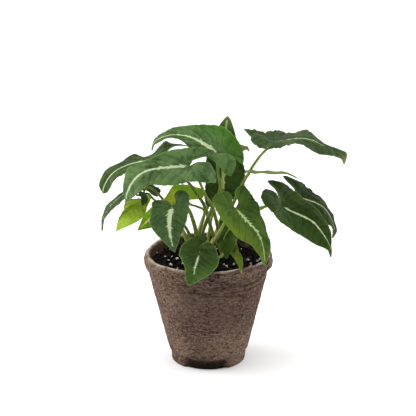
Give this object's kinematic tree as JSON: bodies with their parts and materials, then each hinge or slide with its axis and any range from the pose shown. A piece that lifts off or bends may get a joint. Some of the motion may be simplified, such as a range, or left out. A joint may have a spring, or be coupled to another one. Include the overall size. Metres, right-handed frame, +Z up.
{
  "type": "potted syngonium plant",
  "caption": "Arrowhead-leaved houseplant with dark green blades and cream midrib stripes, growing in a round fibre nursery pot filled with soil.",
  "frame": {"origin": "centre of the pot's flat underside, where it rests", "axes": "+Z up along the pot's axis; -Y towards the viewer of the picture; +X to the viewer's right, along the wider spread of the leaves"},
  "size_m": [0.2457, 0.142, 0.2483],
  "materials": {
    "fibre": "matte",
    "soil": "matte",
    "petiole": "satin",
    "leaf_dark": "satin",
    "leaf_bright": "satin",
    "leaf_pale": "satin",
    "leaf_yellow": "satin"
  },
  "bodies": {
    "root": {"pot": "fibre", "soil": "soil", "stems_left": "petiole", "stems_middle": "petiole", "stems_right": "petiole", "leaf_back": "leaf_dark", "leaf_back_small": "leaf_dark", "leaf_bright_small": "leaf_pale", "leaf_crown": "leaf_bright", "leaf_front_left": "leaf_dark", "leaf_front_middle": "leaf_dark", "leaf_front_right": "leaf_bright", "leaf_inner_narrow": "leaf_dark", "leaf_inner_shaded": "leaf_dark", "leaf_left_back": "leaf_dark", "leaf_left_front": "leaf_dark", "leaf_left_low": "leaf_dark", "leaf_pale_hanging": "leaf_pale", "leaf_right_back": "leaf_dark", "leaf_right_front": "leaf_dark", "leaf_right_thin": "leaf_dark", "leaf_right_top": "leaf_dark", "leaf_yellow_young": "leaf_yellow"}
  },
  "joints": []
}
